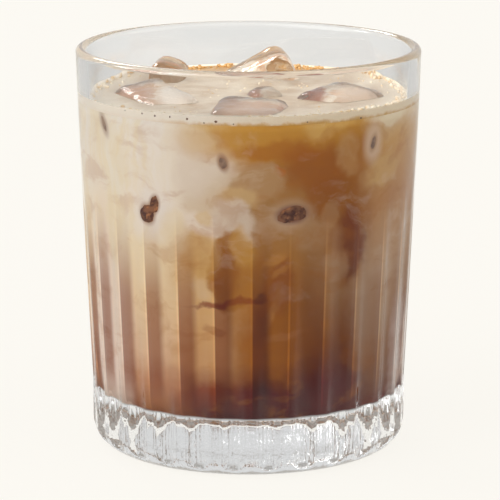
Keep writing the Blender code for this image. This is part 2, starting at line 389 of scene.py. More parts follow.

# Pale rings of milk and dark painted shade round the sunk ice, painted where it is, without the swirls
SUNK_SHADES = [
    Patch(-36.2, 64.4, 4.2, 4.6, -20, 0.6, 0.5, (226, 214, 202)),
    Patch(-37.6, 63.2, 2.1, 2.5, 10, 0.5, 0.9, (150, 112, 84)),
    Patch(-34.6, 65.6, 1.5, 2.5, -14, 0.5, 0.9, (150, 112, 84)),
    Patch(15.0, 64.2, 5.0, 3.4, 0, 0.55, 0.5, (178, 148, 118)),
    Patch(15.2, 64.4, 3.6, 2.2, 4, 0.5, 0.95, (112, 82, 74)),
    Patch(47.4, 79.5, 2.8, 4.6, 0, 0.6, 0.55, (204, 176, 146)),
    Patch(47.4, 79.5, 1.1, 2.2, -16, 0.6, 0.9, (150, 116, 90)),
    Patch(-8.7, 76.8, 2.6, 3.2, 0, 0.6, 0.3, (214, 196, 172)),
    Patch(-8.7, 76.8, 1.2, 2.0, 14, 0.6, 0.9, (142, 106, 84)),
    Patch(-58.2, 83.0, 2.6, 4.2, 20, 0.5, 0.3, (226, 204, 176)),
    Patch(-58.2, 83.0, 1.3, 3.0, 24, 0.6, 0.9, (172, 146, 124)),
]

# The near-white tint in the left cube's hollow is a painted highlight; the brown ones are partly coffee seen
# through the ice and partly painted shade
HOLLOW_TINTS = [
    Tint(-0.5, -26.5, 11.0, 9.0, (204, 172, 150)),
    Tint(-28.0, -9.0, 5.5, 12.0, (206, 150, 112)),
    Tint(-16.0, -9.0, 6.0, 12.0, (252, 246, 238)),
    Tint(-6.0, -21.0, 5.0, 6.0, (188, 152, 128)),
    Tint(8.5, -25.0, 2.5, 9.0, (170, 100, 64)),
    Tint(14.5, -6.0, 4.5, 10.0, (176, 104, 72)),
    Tint(27.0, -6.0, 6.5, 9.0, (226, 202, 180)),
    Tint(1.5, -5.0, 2.6, 6.0, (190, 118, 76)),
    Tint(-22.5, 18.0, 5.0, 8.0, (200, 142, 86)),
]

SOFTBOXES = [
    Softbox((-0.80, -0.50, 0.50), 44, 3.4),
    Softbox((0.10, -0.60, 0.75), 46, 1.35),
    Softbox((0.90, -0.20, 0.40), 36, 1.0),
    Softbox((0.0, 1.0, 0.10), 75, -0.06),
    Softbox((-0.35, 0.75, 0.60), 11, 14.0),
    Softbox((-0.95, 0.10, 0.45), 9, 12.0),
]


# ---------------- node helpers


def set_inputs(tree, node, inputs):
    """Sets a node's inputs. Each is a number, a vector, a colour or the output socket of another node."""
    for name, value in inputs.items():
        if isinstance(value, bpy.types.NodeSocket):
            tree.links.new(value, node.inputs[name])
        else:
            node.inputs[name].default_value = value


def add_node(tree, kind, inputs, **settings):
    made = tree.nodes.new(kind)
    for name, value in settings.items():
        setattr(made, name, value)
    set_inputs(tree, made, inputs)
    return made


def calc(tree, operation, first, second=0.0, third=0.0):
    inputs = {0: first, 1: second, 2: third}
    return add_node(tree, "ShaderNodeMath", inputs, operation=operation).outputs[0]


def vector_calc(tree, operation, first, second=(0.0, 0.0, 0.0)):
    return add_node(tree, "ShaderNodeVectorMath", {0: first, 1: second}, operation=operation)


def scaled(tree, vector, factors):
    return vector_calc(tree, "MULTIPLY", vector, factors).outputs[0]


def axes(tree, vector):
    return add_node(tree, "ShaderNodeSeparateXYZ", {0: vector}).outputs


def smooth_range(tree, value, low, high, to_low=0.0, to_high=1.0):
    inputs = {"Value": value, "From Min": low, "From Max": high, "To Min": to_low, "To Max": to_high}
    return add_node(tree, "ShaderNodeMapRange", inputs, interpolation_type="SMOOTHSTEP").outputs["Result"]


def as_colour(value):
    """A colour as a node takes it: a socket as it is, and three channels with a fourth for opacity."""
    return value if isinstance(value, bpy.types.NodeSocket) else (*value, 1.0)


def mix_colour(tree, share, first, second, blend="MIX"):
    inputs = {0: share, 6: as_colour(first), 7: as_colour(second)}
    return add_node(tree, "ShaderNodeMix", inputs, data_type="RGBA", blend_type=blend).outputs[2]


def noise_texture(tree, vector, scale, detail=3.0, roughness=0.5, distortion=0.0):
    inputs = {
        "Vector": vector,
        "Scale": scale,
        "Detail": detail,
        "Roughness": roughness,
        "Distortion": distortion,
    }
    return add_node(tree, "ShaderNodeTexNoise", inputs).outputs


def noise_value(tree, vector, scale, **looks):
    return noise_texture(tree, vector, scale, **looks)["Fac"]


def bump(tree, height, strength, distance):
    inputs = {"Height": height, "Strength": strength, "Distance": distance}
    return add_node(tree, "ShaderNodeBump", inputs).outputs["Normal"]


def object_mm(tree):
    """The surface point's place in millimetres."""
    place = add_node(tree, "ShaderNodeTexCoord", {}).outputs["Object"]
    return scaled(tree, place, (1 / MM, 1 / MM, 1 / MM))


def distance_from_axis(tree, place):
    return vector_calc(tree, "LENGTH", scaled(tree, place, (1.0, 1.0, 0.0))).outputs["Value"]


def ellipse_distance(tree, place, centre, half_sizes, lean=0.0):
    """0 in the middle of an ellipse, 1 on its edge."""
    inputs = {
        "Vector": place,
        "Location": (*centre, 0.0),
        "Rotation": (0.0, 0.0, math.radians(lean)),
        "Scale": (*half_sizes, 1.0),
    }
    local = add_node(tree, "ShaderNodeMapping", inputs, vector_type="TEXTURE").outputs[0]
    return vector_calc(tree, "LENGTH", local).outputs["Value"]


def new_material(name):
    material = bpy.data.materials.new(name)
    material.use_nodes = True
    return material, material.node_tree, material.node_tree.nodes["Principled BSDF"]


def srgb(red, green, blue):
    """A colour given as it looks on screen, 0 to 255, as linear light."""
    shares = [value / 255 for value in (red, green, blue)]
    return tuple(s / 12.92 if s <= 0.04045 else ((s + 0.055) / 1.055) ** 2.4 for s in shares)


# ---------------- shape helpers


def smooth_step(low, high, value):
    share = min(1.0, max(0.0, (value - low) / (high - low)))
    return share * share * (3 - 2 * share)


def arc(centre_radius, centre_z, radius, start, end, steps):
    """Profile points on an arc in the radius-height plane, from one angle to another."""
    angles = [math.radians(start + (end - start) * i / steps) for i in range(steps + 1)]
    return [(centre_radius + radius * math.cos(a), centre_z + radius * math.sin(a)) for a in angles]


def heights_between(low, high, steps):
    return [low + (high - low) * i / steps for i in range(1, steps)]


def even_angles(steps):
    return [2 * math.pi * i / steps for i in range(steps)]


def to_mesh(body, name):
    mesh = bpy.data.meshes.new(name)
    body.to_mesh(mesh)
    body.free()
    return mesh


def join_meshes(name, meshes):
    body = bmesh.new()
    for mesh in meshes:
        body.from_mesh(mesh)
        bpy.data.meshes.remove(mesh)
    joined = to_mesh(body, name)
    joined.shade_smooth()
    return joined


def add_object(name, mesh, material):
    made = bpy.data.objects.new(name, mesh)
    bpy.context.scene.collection.objects.link(made)
    mesh.materials.append(material)
    return made


def apply_modifiers(target):
    bpy.context.view_layer.update()
    applied = bpy.data.meshes.new_from_object(target.evaluated_get(bpy.context.evaluated_depsgraph_get()))
    target.modifiers.clear()
    target.data = applied
    return applied


def lathed_mesh(name, profile, angles, move=None):
    """A closed mesh round Z from (radius, z) points that start and end on the axis, top first.

    move takes (radius, z, angle, index of the profile point) and returns the point's own (radius, z).
    """
    steps = len(angles)
    points = [(0.0, 0.0, profile[0][1])]
    for index, (radius, z) in enumerate(profile[1:-1], start=1):
        for angle in angles:
            own_radius, own_z = move(radius, z, angle, index) if move else (radius, z)
            points.append((own_radius * math.cos(angle), own_radius * math.sin(angle), own_z))
    points.append((0.0, 0.0, profile[-1][1]))
    last = len(points) - 1
    rings = len(profile) - 2
    faces = [(0, 1 + i, 1 + (i + 1) % steps) for i in range(steps)]
    for ring in range(rings - 1):
        above = 1 + ring * steps
        below = above + steps
        for i in range(steps):
            j = (i + 1) % steps
            faces.append((above + i, below + i, below + j, above + j))
    base = 1 + (rings - 1) * steps
    faces += [(last, base + (i + 1) % steps, base + i) for i in range(steps)]
    mesh = bpy.data.meshes.new(name)
    mesh.from_pydata(points, [], faces)
    mesh.shade_smooth()
    return mesh


# ---------------- tumbler


def outer_radius(z):
    share = max(0.0, (z - STRAIGHT_HEIGHT) / (GLASS_HEIGHT - STRAIGHT_HEIGHT))
    return FOOT_RADIUS + (RIM_RADIUS - FOOT_RADIUS) * share * (1 + FLARE_BULGE - FLARE_BULGE * share**2)


def wall_thickness(z):
    return FOOT_WALL + (RIM_WALL - FOOT_WALL) * z / GLASS_HEIGHT


def inner_radius(z):
    return outer_radius(z) - wall_thickness(z)


def flute_dip(angle, z):
    """How far a flute dips into the wall, with the ridge's shoulders rounded."""
    turn = ((angle - math.radians(FRONT_RIDGE)) / (2 * math.pi) * FLUTE_COUNT) % 1.0
    from_middle = abs(turn - 0.5) * 2
    bowl = 1 - (from_middle / (1 - RIDGE_SHARE)) ** 2
    soft = (bowl + math.hypot(bowl, RIDGE_SOFTNESS)) / 2
    deeper = 1 + BASE_FLUTE_GAIN * (1 - smooth_step(*BASE_FLUTES, z))
    return FLUTE_DEPTH * deeper * soft * smooth_step(*FLUTE_FOOT, z) * (1 - smooth_step(*FLUTE_TOP, z))


def flute_angles():
    """Angles round the tumbler, closer together near the ridges."""
    pitch = 2 * math.pi / FLUTE_COUNT
    angles = []
    for flute in range(FLUTE_COUNT):
        for i in range(FLUTE_SEGMENTS):
            share = i / FLUTE_SEGMENTS
            crowded = share - RIDGE_CROWDING * math.sin(2 * math.pi * share) / (2 * math.pi)
            angles.append(math.radians(FRONT_RIDGE) + pitch * (flute + crowded))
    return angles


def wall_heights(low, high, rings):
    """Heights up a wall between two roundings, with a last one close to each."""
    return [low + CLOSE_RING, *heights_between(low, high, rings), high - CLOSE_RING]


def tumbler_profile():
    """From the middle of the glass floor up the inside, over the lip and down to the underside's middle."""
    lip = RIM_WALL / 2
    lip_z = GLASS_HEIGHT - lip
    corner_z = FLOOR_HEIGHT + FLOOR_ROUNDING
    corner_radius = inner_radius(corner_z) - FLOOR_ROUNDING
    return [
        (0.0, FLOOR_HEIGHT),
        *[(corner_radius * share, FLOOR_HEIGHT) for share in (0.2, 0.5, 0.8)],
        *arc(corner_radius, corner_z, FLOOR_ROUNDING, -90, 0, CORNER_STEPS),
        *[(inner_radius(z), z) for z in wall_heights(corner_z, lip_z, INSIDE_RINGS)],
        *arc(outer_radius(lip_z) - lip, lip_z, lip, 180, 0, LIP_STEPS),
        *[(outer_radius(z), z) for z in wall_heights(FOOT_ROUNDING, lip_z, OUTSIDE_RINGS)[::-1]],
        *arc(FOOT_RADIUS - FOOT_ROUNDING, FOOT_ROUNDING, FOOT_ROUNDING, 0, -90, FOOT_STEPS),
        (PUNT_RADIUS + PUNT_EASE, 0.0),
        (PUNT_RADIUS, PUNT_EASE_RISE),
        (PUNT_RADIUS - PUNT_SLOPE, PUNT_DEPTH - PUNT_EASE_RISE),
        (PUNT_RADIUS - PUNT_SLOPE - PUNT_EASE, PUNT_DEPTH),
        (PUNT_RADIUS / 2, PUNT_DEPTH),
        (0.0, PUNT_DEPTH),
    ]


def make_tumbler(material):
    profile = tumbler_profile()
    lip_index = max(range(len(profile)), key=lambda index: profile[index][1])

    def fluted(radius, z, angle, index):
        on_outside = index > lip_index and radius > FOOT_RADIUS - FOOT_ROUNDING
        return (radius - flute_dip(angle, z) if on_outside else radius), z

    mesh = lathed_mesh("glass_tumbler", profile, flute_angles(), fluted)
    return add_object("glass_tumbler", mesh, material)


# ---------------- drink and froth


def make_drink_body(material):
    """The coffee and milk up to the froth, a little into the wall and the glass floor all round."""
    top = DRINK_LEVEL - FROTH_THICKNESS + FROTH_OVERLAP
    edge = inner_radius(top) + INTO_WALL
    corner_z = FLOOR_HEIGHT + FLOOR_ROUNDING
    corner_radius = inner_radius(corner_z) - FLOOR_ROUNDING
    side_z = heights_between(corner_z, top, DRINK_RINGS)[::-1]
    profile = [
        (0.0, top),
        *[(edge * share, top) for share in (0.25, 0.5, 0.75, 0.92)],
        (edge, top),
        *[(inner_radius(z) + INTO_WALL, z) for z in side_z],
        *arc(corner_radius, corner_z, FLOOR_ROUNDING + INTO_WALL, 0, -90, CORNER_STEPS),
        *[(corner_radius * share, FLOOR_HEIGHT - INTO_WALL) for share in (0.66, 0.33)],
        (0.0, FLOOR_HEIGHT - INTO_WALL),
    ]
    mesh = lathed_mesh("drink_body", profile, even_angles(DRINK_SEGMENTS))
    return add_object("drink_body", mesh, material)


def froth_relief(x, y):
    """Soft swells and small bubble bumps on the froth."""
    place = Vector((x, y, 0)) / MM
    swell = noise.fractal(place / SWELL_WIDTH_MM, 1.0, 2.0, 2)
    bumps = noise.fractal(place / BUMP_WIDTH_MM + Vector((7, 3, 1)), 0.8, 2.1, 3)
    return SWELL_HEIGHT * swell + BUMP_HEIGHT * bumps


def froth_profile():
    """The top, which creeps up the wall at its edge, the band that shows through the wall, and the bottom."""
    under = DRINK_LEVEL - FROTH_THICKNESS
    edge = inner_radius(DRINK_LEVEL) + FROTH_INTO_WALL
    rise_start = edge - MENISCUS_WIDTH
    top = [(rise_start * i / FROTH_RINGS, DRINK_LEVEL) for i in range(FROTH_RINGS + 1)]
    rise = []
    side = []
    for i in range(1, FROTH_SIDE_STEPS + 1):
        share = i / FROTH_SIDE_STEPS
        rise.append((rise_start + MENISCUS_WIDTH * share, DRINK_LEVEL + MENISCUS_RISE * share**2))
        z = DRINK_LEVEL + MENISCUS_RISE - (MENISCUS_RISE + FROTH_THICKNESS) * share
        side.append((inner_radius(z) + (FROTH_INTO_WALL - FROTH_TUCK * share**4), z))
    bottom = [(edge * share, under) for share in (0.9, 0.5)]
    return [*top, *rise, *side, *bottom, (0.0, under)]


def make_froth(material):
    def uneven(radius, z, angle, index):
        if index <= FROTH_RINGS:
            z += froth_relief(radius * math.cos(angle), radius * math.sin(angle))
        return radius, z

    mesh = lathed_mesh("froth_layer", froth_profile(), even_angles(FROTH_SEGMENTS), uneven)
    return add_object("froth_layer", mesh, material)


# ---------------- floating ice


def inset_cube(name, inset):
    """A CAD ice cube as a bmesh, its faces moved in along their normals."""
    body = bmesh.new()
    body.from_mesh(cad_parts[name].data)
    bmesh.ops.remove_doubles(body, verts=body.verts, dist=WELD)
    body.normal_update()
    moves = [vertex.normal * inset for vertex in body.verts]
    for vertex, move in zip(body.verts, moves):
        vertex.co -= move
    return body


def pocket_cutter(name):
    """An ice cube's own shape down to POCKET_DEPTH: the hollow that it leaves in the drink."""
    body = inset_cube(name, ICE_INSET + ICE_MELT)
    bmesh.ops.bisect_plane(
        body,
        geom=body.verts[:] + body.edges[:] + body.faces[:],
        plane_co=(0, 0, DRINK_LEVEL - POCKET_DEPTH),
        plane_no=(0, 0, 1),
        clear_inner=True,
    )
    bmesh.ops.holes_fill(body, edges=[edge for edge in body.edges if edge.is_boundary])
    bmesh.ops.recalc_face_normals(body, faces=body.faces)
    return bpy.data.objects.new(name + "_cutter", to_mesh(body, name + "_cutter"))


def cut_pockets(target, cutters):
    """Cuts the hollows out of a layer, so that clear ice shows their walls and not the layer's top."""
    for cutter in cutters:
        pocket = target.modifiers.new("pocket", "BOOLEAN")
        pocket.operation = "DIFFERENCE"
        pocket.object = cutter
        pocket.solver = "MANIFOLD"
    apply_modifiers(target).set_sharp_from_angle(angle=math.radians(50))


def make_ice(name, material, seed):
    """A melting cube: the CAD cube remeshed finely, smoothed and made uneven."""
    made = add_object(name + "_clear", to_mesh(inset_cube(name, 0.0), name + "_clear"), material)
    remesh = made.modifiers.new("fine", "REMESH")
    remesh.mode = "VOXEL"
    remesh.voxel_size = ICE_VOXEL
    smooth = made.modifiers.new("melt", "SMOOTH")
    smooth.factor = 0.5
    smooth.iterations = ICE_SMOOTHINGS
    fine = apply_modifiers(made)
    own_dents = Vector((seed * 3.1, seed * 1.7, seed * 2.3))
    normals = [vertex.normal.copy() for vertex in fine.vertices]
    for vertex, normal in zip(fine.vertices, normals):
        dent = noise.fractal(vertex.co / MM / ICE_DENT_MM + own_dents, 1.0, 2.0, 3)
        vertex.co -= normal * (ICE_MELT * (1 + dent))
    fine.shade_smooth()
    return made


# ---------------- sunk ice and pinholes


def wall_lump(spot, seed, depth):
    """A rounded lump whose outer face lies on the inside of the wall."""
    ball = bmesh.new()
    bmesh.ops.create_icosphere(ball, subdivisions=4, radius=1.0)
    lean = math.radians(spot.lean)
    for vertex in ball.verts:
        across, out, up = vertex.co
        uneven = 1 + LUMP_UNEVENNESS * noise.noise(vertex.co * LUMP_NOISE + Vector((seed, 0, 0)))
        along = across * spot.half_width_mm * uneven
        rise = up * spot.half_height_mm * uneven
        turned = (along * math.cos(lean) - rise * math.sin(lean)) * MM
        z = spot.height_mm * MM + (along * math.sin(lean) + rise * math.cos(lean)) * MM
        wall = inner_radius(z) + INTO_WALL
        radius = wall + (LUMP_STANDOUT * min(1.0, out * 4) if out > 0 else depth * out)
        angle = math.radians(spot.azimuth - 90) + turned / wall
        vertex.co = (radius * math.cos(angle), radius * math.sin(angle), z)
    return to_mesh(ball, "lump")


def make_sunk_ice(bare, veiled):
    made = []
    for seed, (name, spots) in enumerate(SUNK_ICE.items()):
        lumps = [wall_lump(spot, seed * 3 + i, SUNK_DEPTH) for i, spot in enumerate(spots)]
        made.append(add_object(name, join_meshes(name, lumps), veiled if name in VEILED_ICE else bare))
    return made


def make_pinholes(material):
    specks = [wall_lump(spot, seed, PINHOLE_DEPTH) for seed, spot in enumerate(PINHOLES)]
    return add_object("froth_pinholes", join_meshes("froth_pinholes", specks), material)


# ---------------- bubbles


def bead(place, radius, lift):
    """A small bubble that stands out of the froth, raised by a share of its radius."""
    ball = bmesh.new()
    bmesh.ops.create_icosphere(ball, subdivisions=2, radius=radius)
    centre = place + Vector((0, 0, radius * lift))
    for vertex in ball.verts:
        vertex.co += centre
    return to_mesh(ball, "bead")


def on_froth(azimuth, radius):
    """A place on the froth's top."""
    angle = math.radians(azimuth - 90)
    x = radius * math.cos(angle)
    y = radius * math.sin(angle)
    edge = inner_radius(DRINK_LEVEL)
    climb = max(0.0, (radius - edge + MENISCUS_WIDTH) / MENISCUS_WIDTH)
    return Vector((x, y, DRINK_LEVEL + froth_relief(x, y) + MENISCUS_RISE * climb**2))


def is_clear_of_ice(place):
    for cube in ICE_NAMES:
        low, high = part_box(cube)
        if low.x < place.x < high.x and low.y < place.y < high.y:
            return False
    return True


def bubble_share(azimuth):
    """How much of the wall is lined with bubbles at an azimuth."""
    share = STRAY_BUBBLES
    for middle, spread in BUBBLE_BANKS:
        share += math.exp(-(((azimuth - middle) / spread) ** 2))
    return share


def make_bubbles(material):
    """Beads of froth along the wall and strewn over the top."""
    rand = random.Random(BUBBLE_SEED)
    edge = inner_radius(DRINK_LEVEL)
    beads = []
    for _ in range(WALL_BUBBLES):
        azimuth = rand.uniform(0, 360)
        if rand.random() > bubble_share(azimuth):
            continue
        size = rand.triangular(*WALL_BUBBLE_MM) * MM
        out = edge - size - abs(rand.gauss(0, WALL_BUBBLE_SPREAD_MM)) * MM
        beads.append(bead(on_froth(azimuth, out), size, lift=0.25))
    for _ in range(TOP_BUBBLES):
        azimuth = rand.uniform(0, 360)
        place = on_froth(azimuth, (edge - TOP_BUBBLE_MARGIN) * math.sqrt(rand.random()))
        if is_clear_of_ice(place):
            beads.append(bead(place, rand.triangular(*TOP_BUBBLE_MM) * MM, lift=0.1))
    return add_object("froth_bubbles", join_meshes("froth_bubbles", beads), material)


# ---------------- glass and ice materials


def glass_material():
    """Clear glass, wavier in the pressed base, faintly smeared."""
    material, tree, shader = new_material("pressed_glass")
    place = object_mm(tree)
    smear = noise_value(tree, place, scale=0.12, detail=2.0)
    waves = noise_value(tree, place, scale=0.09, detail=1.0)
    ripples = noise_value(tree, place, scale=0.42, detail=2.0)
    streaks = noise_value(tree, scaled(tree, place, (1.0, 1.0, 0.1)), scale=0.9, detail=2.0)
    in_base = smooth_range(tree, axes(tree, place)["Z"], 15.0, 9.0)
    unevenness = calc(tree, "MULTIPLY", calc(tree, "ADD", ripples, streaks), in_base)
    relief = calc(tree, "MULTIPLY_ADD", unevenness, 1.3, waves)
    looks = {
        "Base Color": as_colour(GLASS_COLOUR),
        "Transmission Weight": 1.0,
        "IOR": GLASS_IOR,
        "Specular IOR Level": 0.17,
        "Roughness": smooth_range(tree, smear, 0.5, 0.75, 0.0, 0.015),
        "Normal": bump(tree, relief, strength=0.15, distance=0.0006),
    }
    set_inputs(tree, shader, looks)
    return material


def ice_material(name, clearness, colour):
    """Ice with a film of milk over it, or none where clearness is 1."""
    material, tree, shader = new_material(name)
    place = object_mm(tree)
    frost = noise_value(tree, place, scale=0.3, detail=3.0)
    dents = noise_value(tree, place, scale=0.26, detail=2.0)
    crinkles = noise_value(tree, place, scale=0.9, detail=3.0)
    crinkled = smooth_range(tree, noise_value(tree, place, scale=0.12, detail=1.0), 0.46, 0.60, 0.0, 0.35)
    relief = calc(tree, "MULTIPLY_ADD", crinkles, crinkled, dents)
    looks = {
        "Base Color": as_colour(colour),
        "Transmission Weight": clearness,
        "IOR": ICE_IOR,
        "Specular Tint": (1.0, 0.90, 0.80, 1.0),
        "Roughness": smooth_range(tree, frost, 0.5, 0.8, 0.0, 0.10),
        "Normal": bump(tree, relief, strength=0.3, distance=0.0014),
    }
    set_inputs(tree, shader, looks)
    return material


def sunk_ice_material(name, dark, light, painted_glint):
    """Ice seen through the drink's film: dark in the middle as painted shade, with warm glints as painted
    highlights.
    """
    material, tree, shader = new_material(name)
    place = object_mm(tree)
    patches = noise_value(tree, place, scale=0.5, detail=2.0)
    painted_glints = noise_value(tree, place, scale=0.8, detail=2.0)
    colour = mix_colour(tree, smooth_range(tree, patches, 0.36, 0.62), dark, light)
    colour = mix_colour(tree, smooth_range(tree, painted_glints, 0.56, 0.72, 0.0, 0.7), colour, painted_glint)
    set_inputs(tree, shader, {"Base Color": colour, "Roughness": 0.6, "Specular IOR Level": 0.0})
    return material


# ---------------- drink material


def pigment(looks, azimuth):
    """The colour that the drink needs to look as given, wet against the glass, in the light at an azimuth.

    The glass's sheen lies over it, the wall throws part of its light back on it, which deepens it, and stray
    light in the wall evens its colours out.
    """
    strength = 1 - LIGHT_PER_DEGREE * azimuth
    extra = (CONTRAST - 1) * (sum(looks) / 3 - MID_TONE)
    aim = srgb(*[channel + extra + tint for channel, tint in zip(looks, TINT)])
    seen = [max(DARKEST, channel - SHEEN) / (light * strength) for channel, light in zip(aim, FRONT_LIGHT)]
    return tuple(min(LIGHTEST, channel / (LIGHT_LET_OUT + LIGHT_THROWN_BACK * channel)) for channel in seen)


def height_ramp(tree, height, stops, azimuth):
    """A colour that changes with height in mm through the given stops."""
    low = stops[0][0]
    high = stops[-1][0]
    share = calc(tree, "DIVIDE", calc(tree, "SUBTRACT", height, low), high - low)
    ramp = add_node(tree, "ShaderNodeValToRGB", {"Fac": share})
    elements = ramp.color_ramp.elements
    while len(elements) < len(stops):
        elements.new(0.5)
    for element, (stop, looks) in zip(elements, stops):
        element.position = (stop - low) / (high - low)
        element.color = as_colour(pigment(looks, azimuth))
    return ramp.outputs["Color"]


def round_the_drink(tree, place):
    """The degrees from the front, and the place on the flat map."""
    split = axes(tree, place)
    azimuth = calc(tree, "ARCTAN2", split["X"], calc(tree, "MULTIPLY", split["Y"], -1.0))
    degrees = calc(tree, "MULTIPLY", azimuth, 180 / math.pi)
    around = calc(tree, "MULTIPLY", azimuth, MAP_RADIUS_MM)
    return degrees, add_node(tree, "ShaderNodeCombineXYZ", {"X": around, "Y": split["Z"]}).outputs[0]


def swirled(tree, place, flat):
    """The place on the flat map, pushed about so that what is painted there is marbled."""
    for swirl in SWIRLS:
        push = noise_texture(tree, place, swirl.scale, swirl.detail, roughness=0.55)["Color"]
        push = vector_calc(tree, "SUBTRACT", push, (0.5, 0.5, 0.5)).outputs[0]
        push = scaled(tree, push, (swirl.push_mm, swirl.push_mm, 0.0))
        flat = vector_calc(tree, "ADD", flat, push).outputs[0]
    return flat


def layers(tree, warped, height, degrees, behind):
    """Dark coffee below, milky above, sector by sector, and cloudy at the back."""
    ramps = [height_ramp(tree, height, sector.stops, sector.azimuth) for sector in SECTORS]
    colour = ramps[0]
    for sector, ramp in zip(SECTORS[1:], ramps[1:]):
        colour = mix_colour(tree, smooth_range(tree, degrees, *sector.blend), colour, ramp)
    clouds = noise_value(tree, warped, scale=0.05, detail=3.0, roughness=0.6)
    cloudy = mix_colour(tree, smooth_range(tree, clouds, 0.38, 0.62), ramps[-1], ramps[0])
    return mix_colour(tree, behind, colour, cloudy)


def with_patches(tree, colour, place, patches):
    for patch in patches:
        centre = (math.radians(patch.azimuth) * MAP_RADIUS_MM, patch.height_mm)
        half_sizes = (patch.half_width_mm, patch.half_height_mm)
        distance = ellipse_distance(tree, place, centre, half_sizes, patch.lean)
        soft = patch.softness * SOFTNESS_GAIN
        share = smooth_range(tree, distance, 1 - soft, 1 + soft, patch.strength, 0.0)
        colour = mix_colour(tree, share, colour, pigment(patch.looks, patch.azimuth))
    return colour


def with_wisps(tree, colour, warped, height):
    """Fine random swirls, dark ones all over and milky ones higher up."""
    wide = scaled(tree, warped, (0.6, 1.0, 1.0))
    wisps = noise_value(tree, wide, scale=0.13, detail=4.0, roughness=0.6, distortion=0.4)
    dark = smooth_range(tree, wisps, 0.34, 0.50, 0.30, 0.0)
    colour = mix_colour(tree, dark, colour, pigment((160, 100, 52), 0))
    higher_up = smooth_range(tree, height, 28.0, 60.0, 0.0, 0.20)
    milky = calc(tree, "MULTIPLY", smooth_range(tree, wisps, 0.52, 0.70), higher_up)
    return mix_colour(tree, milky, colour, pigment((236, 214, 184), 0))


def with_strands(tree, colour, warped, height, degrees):
    """Golden strands that hang in the milk at the left."""
    drawn_out = scaled(tree, warped, (1.0, 0.16, 1.0))
    strands = noise_value(tree, drawn_out, scale=0.24, detail=3.0, roughness=0.6)
    at_left = smooth_range(tree, degrees, -20.0, -42.0, 0.0, 0.55)
    golden = calc(tree, "MULTIPLY", smooth_range(tree, strands, 0.42, 0.60), at_left)
    golden = calc(tree, "MULTIPLY", golden, smooth_range(tree, height, 44.0, 58.0))
    return mix_colour(tree, golden, colour, pigment((238, 206, 150), -45))


def flute_shade(tree, degrees, height):
    """Painted light and shade through each flute, a painted highlight along each ridge, and how much both
    show.

    At the left a flute is painted dark and then light, at the right the reverse.
    """
    pitch = 360 / FLUTE_COUNT
    parallax = smooth_range(tree, calc(tree, "ABSOLUTE", degrees), 70.0, 110.0, 1 - WALL_PARALLAX, 1.0)
    seen = calc(tree, "MULTIPLY", degrees, parallax)
    turn = calc(tree, "FRACT", calc(tree, "DIVIDE", calc(tree, "SUBTRACT", seen, FRONT_RIDGE + 90), pitch))
    rising = smooth_range(tree, turn, 0.32, 0.62)
    edge = smooth_range(tree, turn, 0.97, 1.0, 1.0, 0.0)
    left = calc(tree, "MULTIPLY", rising, edge)
    right = smooth_range(tree, turn, 0.0, 0.9, 0.75, 0.25)
    is_right = smooth_range(tree, degrees, 8.0, 20.0)
    light = calc(tree, "ADD", left, calc(tree, "MULTIPLY", is_right, calc(tree, "SUBTRACT", right, left)))
    ridge_highlight = smooth_range(tree, calc(tree, "ABSOLUTE", calc(tree, "SUBTRACT", turn, 0.5)), 0.455, 0.49)
    fade_up = smooth_range(tree, height, 67.0, 38.0)
    fade_down = smooth_range(tree, height, 13.0, 24.0, 0.3, 1.0)
    return light, ridge_highlight, calc(tree, "MULTIPLY", fade_up, fade_down)


def with_painted_flute_light(tree, colour, degrees, height):
    light, ridge_highlight, strength = flute_shade(tree, degrees, height)
    # painted shade on each flute's dark half, and a painted highlight along each ridge
    shade = mix_colour(tree, light, srgb(184, 155, 146), srgb(255, 255, 255))
    shade = mix_colour(tree, ridge_highlight, shade, (1.16, 1.16, 1.16))
    return mix_colour(tree, strength, colour, mix_colour(tree, 1.0, colour, shade, "MULTIPLY"))


def pale_foot(tree, colour, height, behind):
    """The underside and the far foot, painted pale as painted light, because the glass base mirrors them to
    the front.
    """
    underside = smooth_range(tree, height, 14.5, 13.8, 0.0, 0.95)
    colour = mix_colour(tree, underside, colour, srgb(230, 230, 230))
    far_foot = calc(tree, "MULTIPLY", behind, smooth_range(tree, height, 21.0, 15.5, 0.0, 0.85))
    return mix_colour(tree, far_foot, colour, srgb(214, 209, 204))


def hollow_colour(tree, place):
    """The walls of the ice's hollows, as they show through the ice."""
    patches = smooth_range(tree, noise_value(tree, place, scale=0.22, detail=2.0), 0.40, 0.56)
    colour = mix_colour(tree, patches, srgb(220, 184, 152), srgb(246, 236, 220))
    from_above = scaled(tree, place, (1.0, 1.0, 0.0))
    # tints that hold a painted highlight and painted shade
    for tint in HOLLOW_TINTS:
        half_sizes = (tint.half_width_mm, tint.half_depth_mm)
        distance = ellipse_distance(tree, from_above, (tint.x_mm, tint.y_mm), half_sizes)
        share = smooth_range(tree, distance, 0.6, 1.2, 0.9, 0.0)
        colour = mix_colour(tree, share, colour, srgb(*tint.colour))
    return colour


